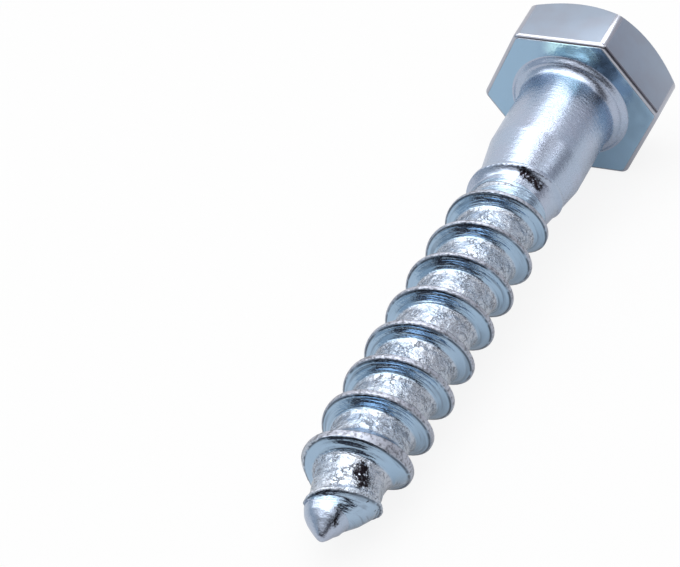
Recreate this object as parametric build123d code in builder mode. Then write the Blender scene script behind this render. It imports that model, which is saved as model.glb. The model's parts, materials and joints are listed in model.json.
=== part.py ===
"""Hexagon-head lag screw (coach screw), nominal size 8 x 50, lying as it comes to rest.

One forged and thread-rolled piece of steel, in millimetres.  It is drawn upright first,
with the bearing face of its head on Z = 0, a head corner on +X and its point up, and
then laid down on one flat of the head and one crest of the thread, as a dropped screw lies.
"""

import os
from math import asin, atan2, ceil, cos, degrees, radians, sin, sqrt, tan

from build123d import *

# ---------------------------------------------------------------- driving sizes
# Head
across_flats = 13.0
head_height = 5.3
head_chamfer_inset = 0.85  # the flat end's circle lies this far inside the flats
head_chamfer_angle = 38.0  # degrees off the flat end
upright_edge_radius = 0.5  # the six edges between the flats
bearing_edge_break = 0.15  # small bevel round the bearing face

# Low collar that the heading die leaves under the head, and the hollow curve above it
collar_rim = 0.83  # how far the collar stands out from the shank
collar_height = 0.35
collar_draft = 45.0  # degrees off the screw's axis
under_head_radius = 0.8

# Shank, and the taper from it down to the core of the thread
length_under_head = 47.5
shank_diameter = 7.75
shank_length = 7.4  # full-diameter part, from the bearing face
taper_length = 6.4

# Thread
thread_diameter = 7.9
core_diameter = 5.6
pitch = 3.6
thread_start = 10.5  # part-way down the taper, from the bearing face
flank_angle = 60.0  # degrees, both flanks together; they meet in a sharp crest
root_ease = 0.25  # half the height over which each flank flares out into the core
root_ease_angle = 60.0  # degrees off the radius
start_crest_height = 0.15  # the first crest, flat and wide, stands this far out of the taper
start_ramp = 0.6  # and gets there over this length
crest_run_in = 7.0  # the crest climbs to its full diameter over this length
start_angle = 214.0  # crest line at the bearing face, in degrees from a head corner

# Gimlet point
point_length = 8.8  # from the last full crest and core to the tip
crest_fall_steps = 4  # straight runs that the falling crest is rounded with
plain_point_length = 2.6  # the thread has died out this far before the tip
plain_point_diameter = 3.6  # core where the thread dies out
point_waist_diameter = 2.5  # halfway along the plain point
tip_diameter = 0.8
tip_round = 0.2  # length of the blunted end
tip_lean = 0.5  # the rolled point ends this far off the axis
tip_lean_angle = 150.0  # direction of that lean, in degrees from a head corner

# ---------------------------------------------------------------- derived sizes
corner_radius = across_flats / sqrt(3)
top_circle_radius = across_flats / 2 - head_chamfer_inset
shank_radius = shank_diameter / 2
core_radius = core_diameter / 2
crest_radius = thread_diameter / 2
start_radius = shank_radius - (shank_radius - core_radius) * (thread_start - shank_length) / taper_length
plain_point_radius = plain_point_diameter / 2
full_crest_end = length_under_head - point_length
thread_end = length_under_head - plain_point_length
buried = 0.3  # how far the ends of the thread ridge lie inside the core
trim_margin = 0.05  # the solid that trims the crest stands this clear of a full crest
fallen_radius = plain_point_radius - buried


def crest_radius_at(z):
    """Radius of the crest at height z, from where it has reached its full diameter."""
    fallen = min(max((z - full_crest_end) / (thread_end - full_crest_end), 0), 1)
    return fallen_radius + (crest_radius - fallen_radius) * sqrt(1 - fallen**2)


# ---------------------------------------------------------------- head
with BuildPart() as head:
    with BuildSketch() as hexagon:
        RegularPolygon(corner_radius, 6)
        fillet(hexagon.vertices(), upright_edge_radius)
    extrude(amount=-head_height)
    chamfer(head.faces().sort_by(Axis.Z)[-1].edges(), bearing_edge_break)
    chamfer_drop = (corner_radius - top_circle_radius) * tan(radians(head_chamfer_angle))
    with BuildSketch(Plane.XZ) as turned_outline:
        with BuildLine():
            Polyline(
                (0, 0),
                (corner_radius, 0),
                (corner_radius, chamfer_drop - head_height),
                (top_circle_radius, -head_height),
                (0, -head_height),
                close=True,
            )
        make_face()
    revolve(axis=Axis.Z, mode=Mode.INTERSECT)

# ---------------------------------------------------------------- thread
# One turn of a wedge-shaped ridge.  It reaches deeper than the core, so that it stays
# joined where the core tapers, and its feet flare out to ease into the core.
ease_radius = core_radius + root_ease
ease_half = (crest_radius - ease_radius) * tan(radians(flank_angle / 2))
flared_half = ease_half + 2 * root_ease * tan(radians(root_ease_angle))
foot_half = min(flared_half, (pitch - root_ease) / 2)
foot_radius = core_radius - root_ease
innermost = fallen_radius - buried
with BuildPart() as ridge_turn:
    with BuildLine() as ridge_path:
        Helix(pitch, pitch, core_radius)
    with BuildSketch(Plane.XZ) as ridge_section:
        with BuildLine():
            Polyline(
                (innermost, -foot_half),
                (foot_radius, -foot_half),
                (ease_radius, -ease_half),
                (crest_radius, 0),
                (ease_radius, ease_half),
                (foot_radius, foot_half),
                (innermost, foot_half),
                close=True,
            )
        make_face()
    sweep(path=ridge_path.line, is_frenet=True)

# The solid of revolution that trims the crests: it rises from the taper, runs clear of
# the full crests and rounds off towards the point.
ridge_bottom = thread_start - buried
fall_angles = [90 * (step + 1) / crest_fall_steps for step in range(crest_fall_steps)]
fall_heights = [full_crest_end + (thread_end - full_crest_end) * sin(radians(angle)) for angle in fall_angles]
with BuildPart() as crest_envelope:
    with BuildSketch(Plane.XZ) as crest_outline:
        with BuildLine():
            Polyline(
                (0, thread_end),
                (0, ridge_bottom),
                (start_radius - buried, ridge_bottom),
                (start_radius + start_crest_height, thread_start + start_ramp),
                (crest_radius + trim_margin, thread_start + crest_run_in),
                (crest_radius + trim_margin, full_crest_end),
                *[(crest_radius_at(z), z) for z in fall_heights],
                close=True,
            )
        make_face()
    revolve(axis=Axis.Z)


def trimmed_turn(height):
    """One turn of the ridge starting at this height, trimmed by the crest envelope."""
    with BuildPart() as turn:
        with Locations((0, 0, height)):
            add(ridge_turn.part)
        add(crest_envelope.part, mode=Mode.INTERSECT)
    return turn.part


turn_count = ceil((thread_end + buried - ridge_bottom) / pitch)
thread_turns = [trimmed_turn(ridge_bottom + turn * pitch) for turn in range(turn_count)]
thread_turn_angle = start_angle + 360 * ridge_bottom / pitch

# ---------------------------------------------------------------- the whole screw, upright
collar_radius = shank_radius + collar_rim
collar_top_rim = collar_rim - collar_height * tan(radians(collar_draft))
hollow_height = sqrt(under_head_radius**2 - (under_head_radius - collar_top_rim) ** 2)
hollow_angle = asin(hollow_height / under_head_radius)


def hollow_point(share):
    """A point of the hollow curve, from the collar's rim at share 1 to the shank at share 0."""
    turned = share * hollow_angle
    out = shank_radius + under_head_radius * (1 - cos(turned))
    return out, collar_height + hollow_height - under_head_radius * sin(turned)


with BuildPart() as upright_screw:
    add(head.part)
    with BuildSketch(Plane.XZ) as half_section:
        with BuildLine():
            Polyline(
                (0, -head_height / 2),
                (collar_radius, -head_height / 2),
                (collar_radius, 0),
                hollow_point(1),
                hollow_point(0.5),
                hollow_point(0),
                (shank_radius, shank_length),
                (core_radius, shank_length + taper_length),
                (core_radius, full_crest_end),
                (plain_point_radius, thread_end),
                (0, thread_end),
                close=True,
            )
        make_face()
    revolve(axis=Axis.Z)
    add(thread_turns, rotation=(0, 0, thread_turn_angle))

    # The plain end of the point: circles that shrink and lean more and more off the axis
    point_sections = [
        (plain_point_diameter, 0),
        (point_waist_diameter, 0.5),
        (tip_diameter, 1 - tip_round / plain_point_length),
        (tip_diameter / 2, 1),
    ]
    for diameter, share in point_sections:
        lean = tip_lean * share**2
        lean_x = lean * cos(radians(tip_lean_angle))
        lean_y = lean * sin(radians(tip_lean_angle))
        with BuildSketch(Plane.XY.offset(thread_end + share * plain_point_length)):
            with Locations((lean_x, lean_y)):
                Circle(diameter / 2)
    loft(ruled=True)


# ---------------------------------------------------------------- laid down on the floor
# It rests on the bearing-side edge of the flat that faces +Y of the upright screw, and on
# the crest that the floor meets first there.  The crest passes that side once a turn.
def tilt_onto_crest(z):
    """Angle in degrees at which the edge of the flat and the crest at height z are level."""
    return degrees(atan2(across_flats / 2 - crest_radius_at(z), z + bearing_edge_break))


first_crest = (90 - start_angle) % 360 / 360 * pitch
crest_heights = [first_crest + turn * pitch for turn in range(ceil(thread_end / pitch))]
full_crests = [z for z in crest_heights if thread_start + crest_run_in < z < thread_end]
tilt = min(tilt_onto_crest(z) for z in full_crests)
lying = Plane(origin=(0, 0, 0), x_dir=(0, -1, 0), z_dir=(cos(radians(tilt)), 0, -sin(radians(tilt))))
laid_down = lying.location * upright_screw.part
reach = laid_down.bounding_box()

with BuildPart() as lag_screw:
    with Locations((-reach.center().X, -reach.center().Y, -reach.min.Z)):
        add(laid_down)

lag_screw.part.label = "lag_screw"
os.makedirs("parts", exist_ok=True)
export_step(lag_screw.part, "parts/lag_screw.step")
print(f"tilt {tilt:.2f} degrees, size {reach.size}, volume {lag_screw.part.volume:.1f} mm3")
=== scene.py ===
# %% [markdown]
# # A zinc-plated lag screw
# A lag screw draws heavy timber together. It is one piece of steel wire: its head is struck in
# a die, its thread is rolled between two plates, and the whole screw is then plated with zinc.
# Two visual pieces are enough for it, a head with flat faces and a round body, and the body
# starts a little inside the head.
#
# The measured solid is loaded first. All that follows dresses it, in metres, and stays inside
# its box. The screw lies on the floor with its head towards -X and its point towards +X.

# %% The measured solid
import json
import math

import bpy
import numpy as np
from mathutils import Matrix, Vector


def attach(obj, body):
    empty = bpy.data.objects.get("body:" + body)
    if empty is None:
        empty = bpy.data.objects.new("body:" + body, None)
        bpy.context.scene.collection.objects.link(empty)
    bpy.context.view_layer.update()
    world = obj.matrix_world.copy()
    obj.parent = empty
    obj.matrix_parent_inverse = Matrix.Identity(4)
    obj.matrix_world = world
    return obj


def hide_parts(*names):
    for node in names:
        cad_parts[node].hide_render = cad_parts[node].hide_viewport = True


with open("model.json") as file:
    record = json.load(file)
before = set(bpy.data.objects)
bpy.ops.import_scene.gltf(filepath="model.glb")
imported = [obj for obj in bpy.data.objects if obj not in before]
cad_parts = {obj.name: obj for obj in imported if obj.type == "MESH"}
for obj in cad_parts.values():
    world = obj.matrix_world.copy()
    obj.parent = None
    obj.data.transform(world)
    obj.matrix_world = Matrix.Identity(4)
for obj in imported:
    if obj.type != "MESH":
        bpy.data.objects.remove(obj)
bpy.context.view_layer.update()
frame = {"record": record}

# %% [markdown]
# ## Upright first, laid down last
# The lying screw rests on its head and on one crest of its thread, so nothing on it is level.
# It is easier to model it upright, in millimetres, with the bearing face of its head at height
# zero and its point up, and to lay it down at the end with one matrix. The record of the solid
# tells where the bearing face is, and which way the axis and the flats look.

# %% The matrix that lays the screw down
mm = 0.001
head_height = 5.3
mounts = {mount["name"]: mount for mount in frame["record"]["mounts"]}
axis = Vector(mounts["shank"]["axis"]).normalized()
flat_down = Vector(mounts["wrench_flat_down"]["axis"]).normalized()
corner_way = flat_down.cross(axis)
bearing_centre = Vector(mounts["head_top"]["pos_m"]) + axis * head_height * mm
lay_down = Matrix((corner_way, flat_down, axis)).transposed().to_4x4()
lay_down.translation = bearing_centre
print("bearing face at", tuple(bearing_centre), "axis", tuple(axis))

# %% [markdown]
# ## The head
# The head is a hexagon with a conical chamfer struck round its flat end. It starts as a
# six-sided cylinder whose upright edges are rounded, because a die has no sharp corners.


# %% Hexagon with rounded upright edges
def clear_selection():
    """Operators act on all that is selected, so each new piece starts from nothing."""
    bpy.ops.object.select_all(action="DESELECT")


def select_only(piece):
    """Makes one piece the active and only selected one."""
    clear_selection()
    piece.select_set(True)
    bpy.context.view_layer.objects.active = piece


def round_edges(piece, wanted, width):
    """Bevels each edge for which wanted, given the places of its two ends, is true."""
    select_only(piece)
    bpy.ops.object.mode_set(mode="EDIT")
    bpy.ops.mesh.select_mode(type="EDGE")
    bpy.ops.mesh.select_all(action="DESELECT")
    bpy.ops.object.mode_set(mode="OBJECT")
    for edge in piece.data.edges:
        edge.select = wanted(*(piece.data.vertices[index].co for index in edge.vertices))
    bpy.ops.object.mode_set(mode="EDIT")
    bpy.ops.mesh.bevel(offset=width, segments=7, profile=0.5)
    bpy.ops.object.mode_set(mode="OBJECT")


across_flats = 13.0
corner_rounding = 0.35

clear_selection()
bpy.ops.mesh.primitive_cylinder_add(
    vertices=6,
    radius=across_flats / math.sqrt(3),
    depth=head_height,
    location=(0, 0, -head_height / 2),
    rotation=(0, 0, math.radians(30)),
)
head = bpy.context.active_object
head.name = "screw_head"
bpy.ops.object.transform_apply(location=True, rotation=True, scale=True)
round_edges(head, lambda a, b: abs(a.z - b.z) > head_height / 2, corner_rounding)
corner_reach = max(vertex.co.x for vertex in head.data.vertices)
print("hexagon", len(head.data.vertices), "vertices, corners at", round(corner_reach, 3))

# %% [markdown]
# A wide cone that shares its axis with the head cuts the chamfer. Where a cone meets six flats
# it leaves a curved edge on each of them, the arc that every struck screw head shows. A Boolean
# gives that arc exactly, which a bevel can't.

# %% The chamfer, cut by a wide cone
top_circle_radius = 5.65
chamfer_angle = math.radians(38)
cone_height = head_height + 1.0

clear_selection()
bpy.ops.mesh.primitive_cone_add(
    vertices=192,
    radius1=top_circle_radius,
    radius2=top_circle_radius + cone_height / math.tan(chamfer_angle),
    depth=cone_height,
    location=(0, 0, -head_height + cone_height / 2),
)
cutter = bpy.context.active_object
select_only(head)
chamfer = head.modifiers.new("chamfer", "BOOLEAN")
chamfer.operation = "INTERSECT"
chamfer.object = cutter
chamfer.solver = "EXACT"
bpy.ops.object.modifier_apply(modifier=chamfer.name)
bpy.data.objects.remove(cutter)
print("chamfered", len(head.data.polygons), "faces")

# %% [markdown]
# The edge round the bearing face is rounder than the others, because the die is open there and
# the steel doesn't quite fill it. That rounded rim is what catches the light in a bright line.

# %% Rounded edges
bearing_rounding, edge_rounding = 0.38, 0.16

round_edges(head, lambda a, b: abs(a.z) < 0.01 and abs(b.z) < 0.01, bearing_rounding)
edges = head.modifiers.new("struck edges", "BEVEL")
edges.width = edge_rounding
edges.segments = 4
edges.limit_method = "ANGLE"
edges.angle_limit = math.radians(26)
edges.harden_normals = False
bpy.ops.object.modifier_apply(modifier=edges.name)
bpy.ops.object.shade_smooth_by_angle(angle=math.radians(28))
print("head", len(head.data.polygons), "faces")

# %% [markdown]
# ## Collar, shank, thread and point
# Under the head everything is round. A ridge could be swept along a helix and joined with a
# Boolean, but on a rolled screw it grows out of the blank, changes its width and melts back
# into the core, with no seam anywhere. So the body is one flat grid, rolled into a tube: its
# columns go round the screw, its rows run from the head to the point, and a few short
# functions say how far each of its vertices stands from the axis.
#
# The plain outline comes first. A collar spreads under the head, as the die leaves it, and
# runs through a hollow curve into the shank.

# %% The outline from the head to the thread
length_under_head = 47.5
shank_radius, shank_length, taper_length = 3.875, 7.4, 6.4
collar_rim, collar_flare, collar_height = 0.83, 0.22, 0.35
collar_draft = math.radians(45)
hollow_radius = 0.8

collar_top = shank_radius + collar_rim - collar_height * math.tan(collar_draft)
collar_foot = shank_radius + collar_rim + collar_flare
hollow_rise = math.sqrt(hollow_radius**2 - (hollow_radius - (collar_top - shank_radius)) ** 2)
hollow_turn = math.asin(hollow_rise / hollow_radius)
outline = [(collar_foot, -depth) for depth in (1.0, 0.3, 0.01)]  # inside the head
for share in np.linspace(0, 0.95, 14):
    out = collar_foot + share * (collar_top - collar_foot)
    outline.append((out, collar_height * share * share * (3 - 2 * share)))
for turn in np.linspace(hollow_turn, 0, 14):
    out = shank_radius + hollow_radius * (1 - math.cos(turn))
    outline.append((out, collar_height + hollow_rise - hollow_radius * math.sin(turn)))
for up in np.linspace(outline[-1][1], shank_length + 0.02, 24)[1:]:
    outline.append((shank_radius, up))
print("outline", len(outline), "rows, collar", round(2 * collar_foot, 2), "mm across")

# %% [markdown]
# Past the shank the wire tapers to the core of the thread. Two more lines rule the thread: no
# crest stands beyond its envelope, which climbs out of the taper over two turns, runs straight,
# and falls in steps at the worn end.

# %% Core and envelope of the thread
core_radius, crest_radius, pitch = 2.8, 3.945, 3.6
thread_start, thread_end = 9.9, 45.4
climb = 7
taper_slope = (shank_radius - core_radius) / taper_length
start_radius = shank_radius - (thread_start - shank_length) * taper_slope

core_heights = (0, shank_length, shank_length + taper_length, 40.5, 43.4, 44.4, thread_end)
core_radii = (shank_radius, shank_radius, core_radius, core_radius, 2.5, 2.1, 1.7)
envelope_heights = (
    *(thread_start - 0.02, thread_start, thread_start + 0.25, thread_start + climb),
    *(38.0, 40.0, 41.5, 42.3, 43.1, 43.8, 44.4, 45.0, thread_end),
)
envelope_radii = (
    *(0, start_radius, start_radius + 0.08, crest_radius),
    *(crest_radius, 3.88, 3.78, 3.3, 2.65, 2.6, 2.5, 2.2, 1.9),
)
print("thread starts", round(start_radius, 3), "mm from the axis")

# %% [markdown]
# The thread itself is a wedge with 60 degrees between its flanks and a narrow land along its
# crest. It winds up 3.6 mm in a turn, but towards the point the plates lose their grip on the
# wire and the last turns are drawn out, so a table gives the height at which each crest would
# stand on an even helix. The land widens on the way and closes to an edge in the last turn.


# %% The wedge that winds round the core
flank_slope = math.tan(math.radians(30))
start_angle = math.radians(214)
drawn_heights = (0.0, 22.0, 29.25, 36.55, 39.45, 40.6, 41.55, 43.1, 44.4, 45.7)
even_heights = (0.0, 22.0, 29.05, 36.2, 39.25, 39.85, 40.7, 42.9, 43.5, 44.5)
land_heights, land_halves = (20.0, 36.0, 41.8, 43.0), (0.12, 0.2, 0.2, 0.04)
land_crown, land_spare = 0.03, 0.12
crest_blend, root_blend_least, root_blend_most = 0.06, 0.04, 0.5


def soft_max(a, b, blend):
    """The larger of two heights, with the corner between them filled in over this blend."""
    return np.maximum(a, b) + np.maximum(blend - np.abs(a - b), 0) ** 2 / (4 * blend)


def soft_min(a, b, blend):
    """The smaller of two heights, with the corner between them rounded off."""
    return -soft_max(-a, -b, blend)


def thread_surface(angle, height):
    """Distance from the axis, how proud the ridge is of the core, and the way off the land."""
    even = np.interp(height, drawn_heights, even_heights)
    turned = pitch * (angle - start_angle) / (2 * math.pi)
    crest_away = (even - turned + pitch / 2) % pitch - pitch / 2
    core = np.interp(height, core_heights, core_radii)
    envelope = np.interp(height, envelope_heights, envelope_radii)
    land_half = np.interp(height, land_heights, land_halves)
    off_land = np.maximum(np.abs(crest_away) - land_half, 0)
    wedge = np.minimum(crest_radius, envelope + land_spare) - off_land / flank_slope
    wedge = wedge - land_crown * np.minimum(np.abs(crest_away) / land_half, 1) ** 2
    ridge = soft_min(wedge, envelope, crest_blend)
    root_blend = np.clip(0.7 * (envelope - core), root_blend_least, root_blend_most)
    return soft_max(core, ridge, root_blend), ridge - core, np.sign(crest_away) * off_land


_, proud, _ = thread_surface(np.linspace(0, 2 * math.pi, 145), 26.0)
print("at 26 mm the ridge stands", round(float(proud.max()), 2), "mm proud of the core")

# %% [markdown]
# The finish has to know which skin it is on: the flanks are pressed smooth, and the roots are
# squeezed and crumple. The ridge that stands least proud tells them apart. The two ends differ:
# the first band is still smooth wire, and past the last crest only the side towards the head
# is crumpled.


# %% Where the skin is crumpled
point_skin, band_skin = 0.12, 0.1
head_side_limit = 0.05
band_length, band_flank_length = 3.0, 5.6
last_crest, last_crest_sway, last_crest_angle = 41.9, 0.4, math.radians(120)
last_flank = 42.7


def crumple_at(angle, height, proud, off_land):
    """How crumpled the skin is: 0 is smooth and 1 is the bottom of a root."""
    crumple = 1 - np.clip((proud + 0.12) / 0.2, 0, 1)
    head_side = off_land < head_side_limit
    past_crest = height > last_crest + last_crest_sway * np.cos(angle - last_crest_angle)
    crumple = np.where(past_crest & head_side, 1.0, crumple)
    crumple = np.where((height > last_flank) & ~head_side, point_skin, crumple)
    climbed = height - thread_start
    band = (climbed < band_length) | ((climbed < band_flank_length) & head_side)
    crumple = np.where(band, band_skin, crumple)
    return crumple * np.clip((climbed - 0.15) / 0.15, 0, 1)


at_crest = crumple_at(np.zeros(1), 26.0, 1.1, 0.0)[0]
at_root = crumple_at(np.zeros(1), 26.0, -0.2, 1.5)[0]
print("crumple on a crest", float(at_crest), "and in a root", float(at_root))


# %% [markdown]
# Now each row of the tube gets its radius, its height and what the finish wants to know. The
# point was pinched off the next screw on the wire and leans a little, so the last rows move
# off the axis as well. A row every 0.07 mm is fine enough for the land and its lip.

# %% The rows of the tube
around, row_step, point_gap = 144, 0.07, 0.15
far_from_crest, unmarked_band = 9.0, 2.6
lean_heights, leans = (41.5, 43.0, 44.3, 45.5, 46.4, 47.4), (0.0, 0.45, 0.35, 0.0, 0.1, 0.5)
lean_angle = math.radians(150)
point_shares = (0, 0.31, 0.51, 0.79, 0.92, 0.98, 1)
point_radii = (1.7, 1.45, 1.15, 0.68, 0.42, 0.28, 0.14)

thread_rows = np.arange(shank_length + 0.12, thread_end, row_step)
point_rows = np.linspace(thread_end, length_under_head - point_gap, 36)
rows = len(outline) + len(thread_rows) + len(point_rows)
angles = np.linspace(0, 2 * math.pi, around + 1)
radius, height, crumple, lean = (np.zeros((rows, around + 1)) for _ in range(4))
off_crest = np.full((rows, around + 1), far_from_crest)

for row, (out, up) in enumerate(outline):
    radius[row], height[row] = out, up
for row, up in enumerate(thread_rows, len(outline)):
    radius[row], proud, off_land = thread_surface(angles, up)
    height[row] = up
    crumple[row] = crumple_at(angles, up, proud, off_land)
    off_crest[row] = far_from_crest if up < thread_start + unmarked_band else off_land
    lean[row] = np.interp(up, lean_heights, leans)
for row, up in enumerate(point_rows, len(outline) + len(thread_rows)):
    share = (up - thread_end) / (point_rows[-1] - thread_end)
    radius[row] = np.interp(share, point_shares, point_radii)
    height[row] = up
    crumple[row] = point_skin
    lean[row] = np.interp(up, lean_heights, leans)
print(rows, "rows, widest", round(float(radius[len(outline) :].max()), 3), "mm from the axis")

# %% [markdown]
# The grid is rolled up. It also stores, at each vertex, its upright place, its place along and
# across the thread, and how crumpled it is, so that a pattern in the finish follows the
# surface and stays with it when the screw is laid down.


# %% The grid, rolled into a tube
def keep(piece, name, values):
    """Stores a number, or three numbers, at every vertex of a piece for its finish to read."""
    kind, field = ("FLOAT_VECTOR", "vector") if values.ndim == 2 else ("FLOAT", "value")
    store = piece.data.attributes.new(name, kind, "POINT")
    store.data.foreach_set(field, values.astype(np.float32).ravel())


def places(piece):
    """The places of all vertices of a piece, one row each."""
    found = np.empty(len(piece.data.vertices) * 3, np.float32)
    piece.data.vertices.foreach_get("co", found)
    return found.reshape(-1, 3)


clear_selection()
bpy.ops.mesh.primitive_grid_add(x_subdivisions=around, y_subdivisions=rows - 1, size=2)
body = bpy.context.active_object
body.name = "screw_body"
x = radius * np.cos(angles) + lean * math.cos(lean_angle)
y = radius * np.sin(angles) + lean * math.sin(lean_angle)
tube = np.stack((x, y, height), axis=-1).astype(np.float32)
body.data.vertices.foreach_set("co", tube.ravel())
body.data.update()

along = (height - off_crest) * 2 * math.pi / pitch * crest_radius
along = np.where(off_crest < far_from_crest / 2, along, 0)
keep(body, "thread_way", np.stack((along, off_crest, radius), axis=-1).reshape(-1, 3))
keep(body, "rolled", crumple.ravel())
for piece in (head, body):
    keep(piece, "upright", places(piece))
print("tube", len(body.data.vertices), "vertices")

# %% [markdown]
# Rolling brings the first and the last column together, and both ends are still open. Doubles
# are merged and a face is made on each open ring, so that the body is closed like real metal.

# %% Weld the seam and close the ends
select_only(body)
bpy.ops.object.mode_set(mode="EDIT")
bpy.ops.mesh.select_all(action="SELECT")
bpy.ops.mesh.remove_doubles(threshold=0.001)
bpy.ops.mesh.select_all(action="DESELECT")
bpy.ops.mesh.select_mode(type="EDGE")
bpy.ops.mesh.select_non_manifold()
bpy.ops.mesh.edge_face_add()
bpy.ops.mesh.select_all(action="SELECT")
bpy.ops.mesh.normals_make_consistent(inside=False)
bpy.ops.object.mode_set(mode="OBJECT")
bpy.ops.object.shade_smooth_by_angle(angle=math.radians(35))
print("body", len(body.data.vertices), "vertices", len(body.data.polygons), "faces")

# %% [markdown]
# Between the turns the skin of the wire has nowhere to go and is left lumpy. The stored
# crumple becomes a vertex group, and two Displace modifiers push the surface by it: soft
# clouds for the lumps and cells for the dents.

# %% Crumpled roots
lump_size, lump_height = 0.55, 0.11
dent_size, dent_depth = 0.6, 0.05

crumpled = body.vertex_groups.new(name="crumpled")
strength = np.empty(len(body.data.vertices), np.float32)
body.data.attributes["rolled"].data.foreach_get("value", strength)
for index in np.flatnonzero(strength > 0.01):
    crumpled.add([int(index)], float(strength[index]), "REPLACE")
lumps = bpy.data.textures.new("lumps", "CLOUDS")
lumps.noise_scale = lump_size
lumps.noise_depth = 1
dents = bpy.data.textures.new("dents", "VORONOI")
dents.noise_scale = dent_size
dents.weight_1, dents.weight_2 = -1.0, 1.0
for texture, amount in ((lumps, lump_height), (dents, dent_depth)):
    push = body.modifiers.new(texture.name, "DISPLACE")
    push.texture = texture
    push.vertex_group = crumpled.name
    push.strength = amount
    push.mid_level = 0.5
    select_only(body)
    bpy.ops.object.modifier_apply(modifier=push.name)
print("crumpled", int((strength > 0.5).sum()), "vertices")

# %% [markdown]
# Both pieces are laid down in their meshes, so that their objects stay at the origin. Each one
# rides on the only body of the solid.


# %% Lay both pieces down
def lay(piece):
    """Scales a piece drawn upright in millimetres to metres and lays it in its place."""
    piece.data.transform(lay_down @ Matrix.Scale(mm, 4))
    piece.data.update()


for piece in (head, body):
    lay(piece)
    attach(piece, "root")
    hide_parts("lag_screw")
    print(piece.name, "laid,", len(piece.data.vertices), "vertices")

# %% [markdown]
# ## Zinc
# Bright zinc with a blue passivation is a mirror with a cool tint, so nearly all that shows on
# it is the room. What makes it look real is how each face was made: the faces of the head are
# struck and stay satin, the shank is smooth wire with scuffs, the flanks carry fine rings that
# the plates pressed into them, and the roots are crinkled, with painted shade in their creases.
# Each of these is a bump in the shader, masked by what the mesh remembers about its own surface.
#
# Masks are easier to read as sums than as wires between boxes, so one small class wraps the
# output of a node and adds Math nodes when values are added or multiplied.


# %% Shader maths as Python expressions
class Socket:
    """Wraps a node's output, so that an expression on values adds its Math nodes."""

    def __init__(self, tree, output):
        self.tree, self.output = tree, output

    def node(self, kind, settings=None, output=0, **values):
        """Adds a node: its settings first, then the values or links of its sockets.

        A socket is named, or numbered as s0, s1 and so on where names repeat.
        """
        made = self.tree.nodes.new(kind)
        for name, value in (settings or {}).items():
            setattr(made, name, value)
        for name, value in values.items():
            numbered = name[0] == "s" and name[1:].isdigit()
            key = int(name[1:]) if numbered else name.replace("_", " ")
            if isinstance(value, Socket):
                self.tree.links.new(value.output, made.inputs[key])
            else:
                made.inputs[key].default_value = value
        return Socket(self.tree, made.outputs[output])

    def math(self, operation, other=0.0, clamp=False):
        settings = {"operation": operation, "use_clamp": clamp}
        return self.node("ShaderNodeMath", settings, s0=self, s1=other)

    def __add__(self, other):
        return self.math("ADD", other)

    __radd__ = __add__

    def __mul__(self, other):
        return self.math("MULTIPLY", other)

    __rmul__ = __mul__

    def __sub__(self, other):
        return self.math("SUBTRACT", other)

    def __rsub__(self, other):
        return self.node("ShaderNodeMath", {"operation": "SUBTRACT"}, s0=other, s1=self)

    def __abs__(self):
        return self.math("ABSOLUTE")

    def larger(self, other):
        return self.math("MAXIMUM", other)

    def rise(self, low, high):
        """Climbs smoothly from 0 to 1 while the value goes from low to high."""
        settings = {"interpolation_type": "SMOOTHSTEP"}
        return self.node("ShaderNodeMapRange", settings, Value=self, From_Min=low, From_Max=high)

    def vector(self, operation, output=0, **values):
        settings = {"operation": operation}
        return self.node("ShaderNodeVectorMath", settings, output=output, s0=self, **values)

    def scaled(self, x, y, z):
        """Stretches a place along each of its three ways."""
        return self.vector("MULTIPLY", s1=(x, y, z))

    def distance(self, a, b):
        """How far this place is from the straight line between two points."""
        span = Vector(b) - Vector(a)
        offset = self.vector("SUBTRACT", s1=Vector(a))
        share = offset.vector("DOT_PRODUCT", output=1, s1=span / span.length_squared)
        share = share.math("MULTIPLY", 1.0, clamp=True)
        foot = self.node("ShaderNodeVectorMath", {"operation": "SCALE"}, s0=span, Scale=share)
        return offset.vector("DISTANCE", output=1, s1=foot)

    def noise(self, scale, detail=2.0, roughness=0.5):
        values = {"Scale": scale, "Detail": detail, "Roughness": roughness}
        return self.node("ShaderNodeTexNoise", Vector=self, **values)

    def colour(self, shade):
        """Starts a mix with one plain colour."""
        made = self.node("ShaderNodeRGB")
        made.output.default_value = (*shade, 1)
        return made

    def tint(self, shade, factor):
        """Mixes another colour into this one."""
        values = {"s0": factor, "s6": self, "s7": (*shade, 1)}
        return self.node("ShaderNodeMix", {"data_type": "RGBA"}, output=2, **values)


def larger_of(masks):
    """Wherever masks overlap, the strongest one holds."""
    strongest, *others = masks
    for mask in others:
        strongest = strongest.larger(mask)
    return strongest


print("the shader class is ready")

# %% [markdown]
# Both finishes are the same metal, and differ in what feeds its colour, its roughness and its
# relief. The relief is only two hundredths of a millimetre deep, which is what plating and
# tool marks really are, and on a mirror that is plenty.

# %% Helpers for the two finishes
relief_depth = 0.02


def zinc_material(name):
    """A metal with nodes, its shader, and one socket to start from."""
    made = bpy.data.materials.new(name)
    made.use_nodes = True
    shader = made.node_tree.nodes["Principled BSDF"]
    shader.inputs["Metallic"].default_value = 1.0
    return made, shader, Socket(made.node_tree, shader.outputs[0])


def stored_place(start, name):
    return start.node("ShaderNodeAttribute", {"attribute_name": name}, output="Vector")


def stored_number(start, name):
    return start.node("ShaderNodeAttribute", {"attribute_name": name}, output="Fac")


def finish(start, shader, colour, roughness, relief):
    """Feeds the shader; the relief's 0 to 1 reaches as far as its depth in millimetres."""
    values = {"Strength": 1.0, "Distance": relief_depth * mm, "Height": relief}
    bump = start.node("ShaderNodeBump", **values)
    for socket, name in ((colour, "Base Color"), (roughness, "Roughness"), (bump, "Normal")):
        start.tree.links.new(socket.output, shader.inputs[name])


print("relief", relief_depth, "mm deep")
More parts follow.
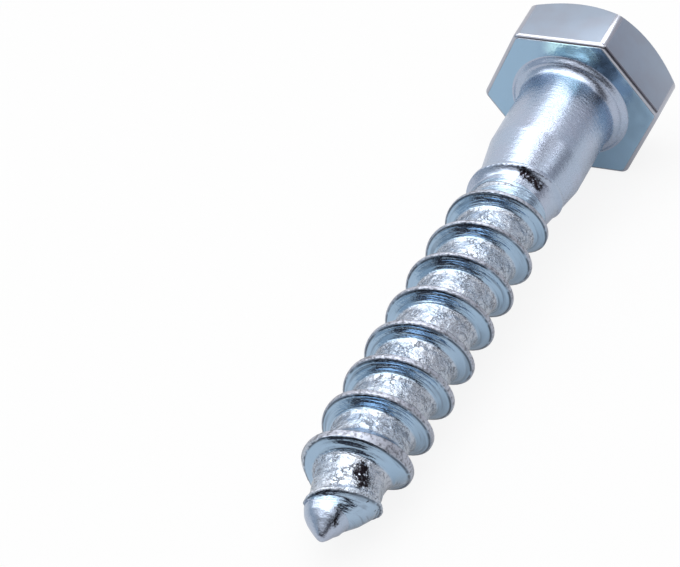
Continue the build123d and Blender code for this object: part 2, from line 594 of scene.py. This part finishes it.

# %% [markdown]
# ### The struck head
# Its flats are satin and a little blue. The bearing face is bluer and smoother, with a patch of
# pale cyan, the tint of pooled passivation brightened into a painted highlight, and beside it a
# spot of painted shade, a dark reflection painted on. Handling has rubbed the rim and the corners
# bright.

# %% The finish of the head
satin = (0.325, 0.365, 0.445)
pale_blue = (0.36, 0.475, 0.61)
sea_blue = (0.30, 0.46, 0.62)
rubbed = (0.43, 0.435, 0.49)
# This pale cyan is brighter than the metal's own tint, as a painted highlight.
painted_highlight_cyan = (0.60, 0.92, 1.0)
# This near-black is the colour of real stains and laps, and also of painted shade and painted
# dark reflection.
stain_and_painted_shade = (0.012, 0.009, 0.012)
cyan_and_highlight_ends = (0.1, -5.6, 0), (-2.1, -5.35, 0)
# Ends of a spot of painted shade, a dark reflection painted beside the cyan patch.
painted_shade_spot_ends = (-3.2, -4.7, 0), (-4.0, -5.6, 0)

head_zinc, shader, start = zinc_material("struck_zinc")
place = stored_place(start, "upright")
up = place.node("ShaderNodeSeparateXYZ", output="Z", Vector=place)
out = place.scaled(1, 1, 0).vector("LENGTH", output=1)
cloud = place.noise(0.45, 3.0).rise(0.35, 0.65)
mottle = place.noise(2.2, 4.0, 0.6)
grain = place.noise(9.0, 3.0, 0.6)
bearing = up.rise(-0.02, -0.004)
rim = up.rise(-0.40, -0.35) * (1 - bearing)
worn = rim.larger(out.rise(7.31, 7.35))
# The pale cyan patch is passivation tint brightened into a painted highlight.
cyan_and_painted_highlight = (1 - (place.distance(*cyan_and_highlight_ends) + mottle * 0.6).rise(0.4, 1.9)) * bearing
# Painted shade: a dark reflection painted on the bearing face.
painted_shade_spot = (1 - (place.distance(*painted_shade_spot_ends) + mottle * 1.2).rise(0.6, 1.7)) * bearing

colour = start.colour(satin).tint(pale_blue, cloud * 0.25).tint(sea_blue, bearing * 0.85)
# The cyan patch is a painted highlight, and the dark spot beside it is painted shade.
colour = colour.tint(rubbed, worn * 0.8).tint(painted_highlight_cyan, cyan_and_painted_highlight * 0.95).tint(stain_and_painted_shade, painted_shade_spot * 0.45)
waves = place.noise(0.55, 1.0) * bearing
relief = grain * 0.05 + mottle * 0.14 + waves * 7.0 + cyan_and_painted_highlight * 6.0
rough = 0.26 - bearing * 0.08 - worn * 0.10 + mottle * 0.06
finish(start, shader, colour, rough, relief)
head.data.materials.clear()
head.data.materials.append(head_zinc)
print("struck zinc", len(head_zinc.node_tree.nodes), "nodes")

# %% [markdown]
# ### The rolled body
# The masks come first. The crest is the land along the ridge, the flanks are both sides of it,
# and a lip of dark metal curls over the edge of the land that looks towards the point.

# %% Masks on the body
lavender = (0.41, 0.46, 0.575)
silver = (0.50, 0.53, 0.585)
lip_middle = 0.09

body_zinc, shader, start = zinc_material("rolled_zinc")
place = stored_place(start, "upright")
way = stored_place(start, "thread_way")
root = stored_number(start, "rolled")
off_land = way.node("ShaderNodeSeparateXYZ", output="Y", Vector=way)
crest = (1 - abs(off_land).rise(0.0, 0.1)) * (1 - root)
flank = (1 - root) * (1 - abs(off_land).rise(1.0, 3.0)) * (1 - crest)
broken = place.noise(1.3, 2.0).rise(0.3, 0.5) * 0.8 + 0.2
lip = (1 - abs(off_land - lip_middle).rise(0.0, 0.07)) * (1 - root) * broken
speck = crest * place.noise(3.6, 3.0, 0.7).rise(0.46, 0.62)
print("masks", len(body_zinc.node_tree.nodes), "nodes")

# %% [markdown]
# Each way of making a surface has its own pattern. Rings run along the thread, so their noise
# is stretched along it; scuffs run round the shank; creases are the thin lines where a noise
# passes through its middle value, and crinkles and facets roughen the roots.

# %% Patterns on the body
cloud = place.noise(0.4, 3.0).rise(0.35, 0.65)
grain = place.noise(7.0, 3.0, 0.6)
rings = way.scaled(0.14, 5.0, 0.0).noise(1.0, 2.0, 0.6)
scuffs = place.scaled(1.0, 1.0, 2.6).noise(1.6, 4.0, 0.65)
# Creases are grooves in the relief, and the colour darkens them with painted shade.
crease_and_painted_shade = 1 - abs(place.noise(1.3, 4.0, 0.65) - 0.5).rise(0.0, 0.04)
crease_and_painted_shade = crease_and_painted_shade * root * place.noise(0.9, 2.0).rise(0.35, 0.65)
crinkle = place.noise(2.6, 4.0, 0.7)
facets = place.noise(1.4, 1.0)
# Dark between the rings on the flanks: partly residue of rolling, partly painted dark reflection.
dark_rings_and_painted_reflection = flank * (1 - rings.rise(0.36, 0.5))
print("patterns", len(body_zinc.node_tree.nodes), "nodes")

# %% [markdown]
# Laps are thin folds that the plates shut, and blots are dark patches of the plating; the blot
# on the first band is painted shade instead, a dark reflection painted on. They are single
# marks, so each one is drawn by its distance from a short line, and noise frays the edges of the
# blots.

# %% Laps and blots
lap_lines = [
    ((-2.96, -0.13, 36.43), (-3.34, 0.07, 36.12)),
    ((-3.34, 0.07, 36.12), (-3.75, 0.9, 35.75)),
    ((-2.43, -0.56, 43.95), (-2.85, -0.57, 43.73)),
    ((-2.23, 0.72, 43.73), (-3.0, 0.7, 43.39)),
    ((-2.68, -0.95, 38.1), (-3.4, -0.9, 39.1)),
]
blot_and_reflection_lines = [
    # On the first band: a painted dark reflection, not a stain.
    ((-1.3, -3.15, 11.6), (-2.5, -1.95, 11.75), 0.42),
    ((-1.75, -2.05, 42.3), (-2.0, -1.5, 43.0), 0.62),
    ((-1.22, -1.2, 45.1), (-1.14, -0.37, 46.4), 0.22),
    ((0.2, -2.1, 45.3), (-0.9, -2.1, 44.9), 0.22),
]


def lap_along(a, b):
    return 1 - place.distance(a, b).rise(0.02, 0.07)


def dark_patch_along(a, b, reach):
    frayed = place.distance(a, b) + place.noise(3.2, 5.0, 0.8) * 1.5
    return 1 - frayed.rise(reach + 0.58, reach + 0.8)


lap = larger_of(lap_along(*line) for line in lap_lines)
blots_and_painted_reflection = larger_of(dark_patch_along(*line) for line in blot_and_reflection_lines)
blots_and_painted_reflection = blots_and_painted_reflection * place.noise(4.5, 3.0, 0.7).rise(0.36, 0.46)
print(len(lap_lines), "laps", len(blot_and_reflection_lines), "blots")

# %% [markdown]
# The colours go on from the metal outwards: the tint of each surface, with painted dark
# reflection between the flank rings, then what was rubbed off, then the painted shade of
# creases, the blots with a painted dark reflection among them, and the laps. The roots take the
# strongest relief, and the flanks are the smoothest, because the plates polished them.

# %% Colour, relief and roughness of the body
# On the flanks the dark between the rings is partly painted dark reflection.
colour = start.colour(lavender).tint(sea_blue, flank * 0.7).tint(stain_and_painted_shade, dark_rings_and_painted_reflection * 0.4)
colour = colour.tint(silver, root * 0.8).tint(pale_blue, cloud * 0.35)
# Creases in the roots are darkened with painted shade.
colour = colour.tint(rubbed, crest * 0.6).tint(stain_and_painted_shade, crease_and_painted_shade * 0.6)
# The blot on the first band is painted dark reflection; the others darken the plating.
colour = colour.tint(stain_and_painted_shade, blots_and_painted_reflection).tint(stain_and_painted_shade, lap * 0.85)
colour = colour.tint(stain_and_painted_shade, (lip * 0.8).larger(speck * 0.6))
relief = grain * (root * 0.3 + 0.09) + scuffs * 1.7 + rings * flank * 4.6
relief = relief + crinkle * (root * 5.5 + crest * 5.0) + facets * root * 5.5
relief = relief - crease_and_painted_shade * 2.0 - lap * 1.5
rough = 0.25 + grain * 0.04 - flank * 0.12 - root * 0.11 + crest * 0.04
finish(start, shader, colour, rough, relief)
body.data.materials.clear()
body.data.materials.append(body_zinc)
print("rolled zinc", len(body_zinc.node_tree.nodes), "nodes")

# %% [markdown]
# ## Studio
# The screw lies on a white floor in a white room. Seen in the metal, that room alone would
# make it all one tone, so the studio has what is put round any bright metal: broad soft lamps
# overhead, which give the long highlights, and dark and grey cards at its sides, which draw
# the dark lines between them.
#
# The floor glows only for the eye and, less, for reflections. On the screw it works as a plain
# white floor does, and it keeps the screw's shadow.

# %% Floor
floor_colour = (0.8, 0.8, 0.8, 1)
glow_seen, glow_mirrored = 0.88, 0.25

clear_selection()
bpy.ops.mesh.primitive_plane_add(size=3)
floor = bpy.context.active_object
floor.name = "floor"
white = bpy.data.materials.new("white_floor")
white.use_nodes = True
base = white.node_tree.nodes["Principled BSDF"]
base.inputs["Base Color"].default_value = floor_colour
base.inputs["Roughness"].default_value = 0.9
paint = Socket(white.node_tree, base.outputs[0])
seen = paint.node("ShaderNodeLightPath", output="Is Camera Ray")
glossy = paint.node("ShaderNodeLightPath", output="Is Glossy Ray")
through = paint.node("ShaderNodeLightPath", output="Is Transmission Ray")
glow = paint.node("ShaderNodeEmission", Color=(1, 1, 1, 1), Strength=1.0)
share = seen * glow_seen + (glossy + through) * glow_mirrored
both = paint.node("ShaderNodeMixShader", s0=share, s1=paint, s2=glow)
white.node_tree.links.new(both.output, white.node_tree.nodes["Material Output"].inputs["Surface"])
floor.data.materials.append(white)
print("floor", tuple(round(side, 2) for side in floor.dimensions))

# %% [markdown]
# The world is white where it is seen, also in the metal, and lights the screw only at a
# quarter of that, so that the lamps give the form.

# %% World
world_light = 0.25

world = bpy.data.worlds.new("studio")
bpy.context.scene.world = world
world.use_nodes = True
background = world.node_tree.nodes["Background"]
background.inputs["Color"].default_value = (1, 1, 1, 1)
sky = Socket(world.node_tree, background.outputs[0])
seen = larger_of(
    sky.node("ShaderNodeLightPath", output=ray)
    for ray in ("Is Camera Ray", "Is Glossy Ray", "Is Transmission Ray")
)
level = seen * (1 - world_light) + world_light
world.node_tree.links.new(level.output, background.inputs["Strength"])
bpy.context.scene.view_settings.view_transform = "Standard"
print("world", len(world.node_tree.nodes), "nodes")

# %% [markdown]
# A lamp's place is given as the screw sees it: its azimuth from +X towards +Y, its elevation
# above the floor, and how many degrees it fills. A lamp's level is its brightness per area, so
# a larger lamp is no whiter in the metal, it only covers more of it.


# %% Soft lamps
lamp_distance = 0.7


def toward(azimuth, elevation):
    """The way from the screw to a lamp."""
    a, e = math.radians(azimuth), math.radians(elevation)
    return Vector((math.cos(e) * math.cos(a), math.cos(e) * math.sin(a), math.sin(e)))


def span_at(distance, degrees):
    """How long a thing is that fills so many degrees at a distance."""
    return 2 * distance * math.tan(math.radians(degrees / 2))


def soft_lamp(name, azimuth, elevation, wide, tall, level):
    """A rectangle of light that the metal mirrors and the eye doesn't see."""
    data = bpy.data.lights.new(name, "AREA")
    data.shape = "RECTANGLE"
    data.size = span_at(lamp_distance, wide)
    data.size_y = span_at(lamp_distance, tall)
    data.energy = level * data.size * data.size_y * math.pi
    made = bpy.data.objects.new(name, data)
    bpy.context.scene.collection.objects.link(made)
    way = toward(azimuth, elevation)
    made.location = way * lamp_distance
    made.rotation_euler = way.to_track_quat("Z", "Y").to_euler()
    made.visible_camera = False
    print(name, round(data.energy, 2), "W")


soft_lamp("overhead", 20, 78, 60, 50, 2.2)
soft_lamp("back_left", -145, 66, 34, 18, 2.6)
soft_lamp("back_strip", 160, 47, 20, 12, 2.7)
soft_lamp("back_fill", -177, 53, 26, 17, 1.8)
soft_lamp("right_spot", 113, 32, 10, 8, 2.2)
soft_lamp("front_left", -82, 46, 24, 34, 1.8)

# %% [markdown]
# Cards stand in a circle round the screw and only the metal sees them. Each one is a strip of
# a wide cylinder with the rest of its faces deleted, painted so that it shows at one even
# shade. A flat flag hangs in front of the lamps and cuts one highlight short.


# %% Cards and a flag
def only_in_the_metal(piece, shade):
    """Paints a card with its own even shade, and hides it from all but reflections."""
    paint = bpy.data.materials.new(piece.name)
    paint.use_nodes = True
    nodes = paint.node_tree.nodes
    start = Socket(paint.node_tree, nodes["Principled BSDF"].outputs[0])
    glow = start.node("ShaderNodeEmission", Color=(*shade, 1), Strength=1.0)
    paint.node_tree.links.new(glow.output, nodes["Material Output"].inputs["Surface"])
    piece.data.materials.append(paint)
    piece.visible_camera = piece.visible_diffuse = piece.visible_shadow = False
    print(piece.name, len(piece.data.polygons), "faces")


def card(name, azimuths, elevations, shade):
    """A curved card between two azimuths and two elevations."""
    low, high = (lamp_distance * math.tan(math.radians(angle)) for angle in elevations)
    clear_selection()
    bpy.ops.mesh.primitive_cylinder_add(
        vertices=180,
        radius=lamp_distance,
        depth=high - low,
        end_fill_type="NOTHING",
        location=(0, 0, (low + high) / 2),
    )
    made = bpy.context.active_object
    made.name = name
    bpy.ops.object.transform_apply(location=True, rotation=True, scale=True)
    bpy.ops.object.mode_set(mode="EDIT")
    bpy.ops.mesh.select_mode(type="FACE")
    bpy.ops.mesh.select_all(action="DESELECT")
    bpy.ops.object.mode_set(mode="OBJECT")
    middle, half = (azimuths[0] + azimuths[1]) / 2, (azimuths[1] - azimuths[0]) / 2
    for face in made.data.polygons:
        azimuth = math.degrees(math.atan2(face.center.y, face.center.x))
        face.select = abs((azimuth - middle + 180) % 360 - 180) > half
    bpy.ops.object.mode_set(mode="EDIT")
    bpy.ops.mesh.delete(type="FACE")
    bpy.ops.object.mode_set(mode="OBJECT")
    only_in_the_metal(made, shade)


def flag(name, azimuth, elevation, wide, tall, shade):
    """A flat card that hangs a little nearer than the lamps."""
    near = lamp_distance * 0.85
    way = toward(azimuth, elevation)
    sides = Matrix.Diagonal((span_at(near, wide), span_at(near, tall), 1, 1))
    turn = way.to_track_quat("Z", "Y").to_matrix().to_4x4()
    clear_selection()
    bpy.ops.mesh.primitive_plane_add(size=1)
    made = bpy.context.active_object
    made.name = name
    made.data.transform(Matrix.Translation(way * near) @ turn @ sides)
    only_in_the_metal(made, shade)


card("dark_card", (-30, 96), (0.2, 29), (0.05, 0.045, 0.055))
card("dim_card", (96, 125), (0.2, 21), (0.30, 0.30, 0.33))
card("right_wall", (125, 181), (0.2, 33), (0.64, 0.64, 0.68))
card("left_wall", (-95, -30), (0.2, 32), (0.50, 0.58, 0.65))
flag("black_flag", 131, 58, 22, 18, (0.05, 0.04, 0.05))

# %% [markdown]
# ## Camera
# A long lens stands beyond the point and looks back up the screw, so that the whole thread is
# seen with two flats and the bearing face of the head.

# %% Camera
camera_data = bpy.data.cameras.new("camera")
camera_data.lens = 149.49
camera = bpy.data.objects.new("camera", camera_data)
bpy.context.scene.collection.objects.link(camera)
camera.location = (0.14281, 0.08452, 0.1341)
camera.rotation_euler = [math.radians(angle) for angle in (51.93, 9.916, 116.104)]
bpy.context.scene.camera = camera
print("camera", round(camera.location.length, 3), "m away, lens", camera_data.lens)
